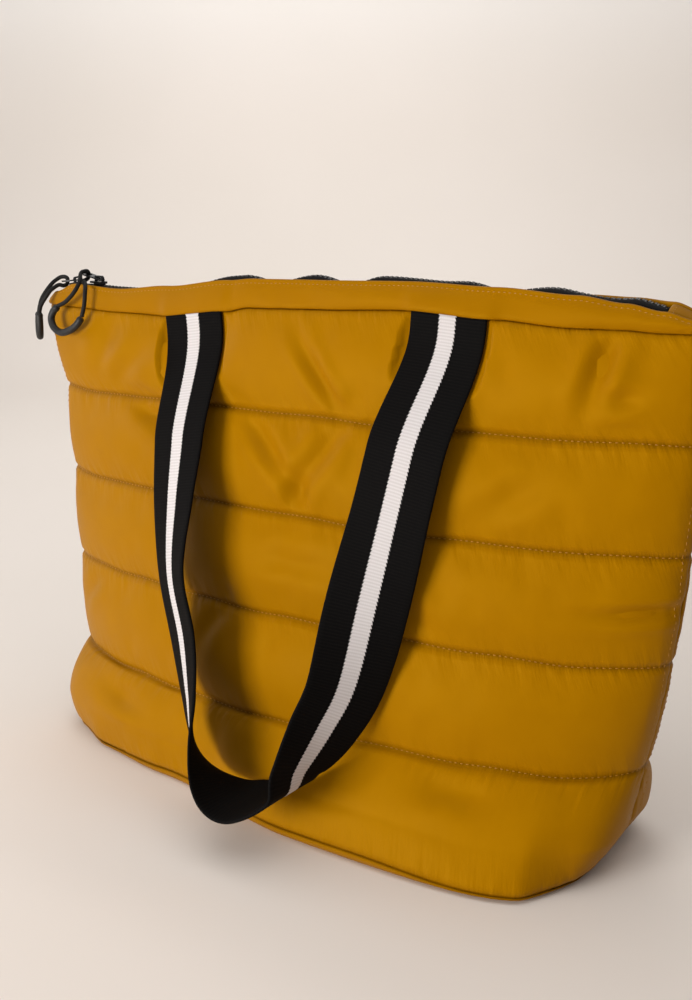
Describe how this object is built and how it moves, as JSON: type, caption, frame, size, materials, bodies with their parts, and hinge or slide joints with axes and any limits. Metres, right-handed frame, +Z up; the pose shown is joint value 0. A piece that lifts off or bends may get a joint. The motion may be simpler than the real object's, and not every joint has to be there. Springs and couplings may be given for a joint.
{
  "type": "quilted tote bag",
  "caption": "Wide padded tote bag with horizontal quilted channels, a folded band round a zipped mouth, corded zip pulls and two striped webbing handles.",
  "frame": {"origin": "on the floor, below the middle of the bag's overall length and depth", "axes": "+X along the bag to the right seen from its front, +Y from the front to the back, +Z up"},
  "size_m": [0.516, 0.276, 0.344],
  "materials": {
    "quilted_nylon": "satin woven nylon, padded",
    "plain_nylon": "satin woven nylon, folded",
    "zip_tape": "matt woven tape",
    "zip_teeth": "satin coil teeth",
    "zip_metal": "black satin",
    "pull_cord": "braided cord",
    "pull_grip": "moulded, fine grain",
    "webbing": "ribbed webbing, near black with a pale middle stripe on its outer face"
  },
  "bodies": {
    "root": {"front_panel": "quilted_nylon", "back_panel": "quilted_nylon", "base_panel": "quilted_nylon", "band_front": "plain_nylon", "band_back": "plain_nylon", "zip_end_tab_left": "plain_nylon", "zip_end_tab_right": "plain_nylon", "zip_tape_front": "zip_tape", "zip_tape_back": "zip_tape", "zip_chain": "zip_teeth", "zip_slider_right": "zip_metal", "zip_slider_left": "zip_metal", "pull_tab_right": "zip_metal", "pull_tab_left": "zip_metal", "pull_cord_right": "pull_cord", "pull_cord_left": "pull_cord", "pull_grip_right": "pull_grip", "pull_grip_left": "pull_grip", "handle_front": "webbing", "handle_back": "webbing"}
  },
  "joints": []
}
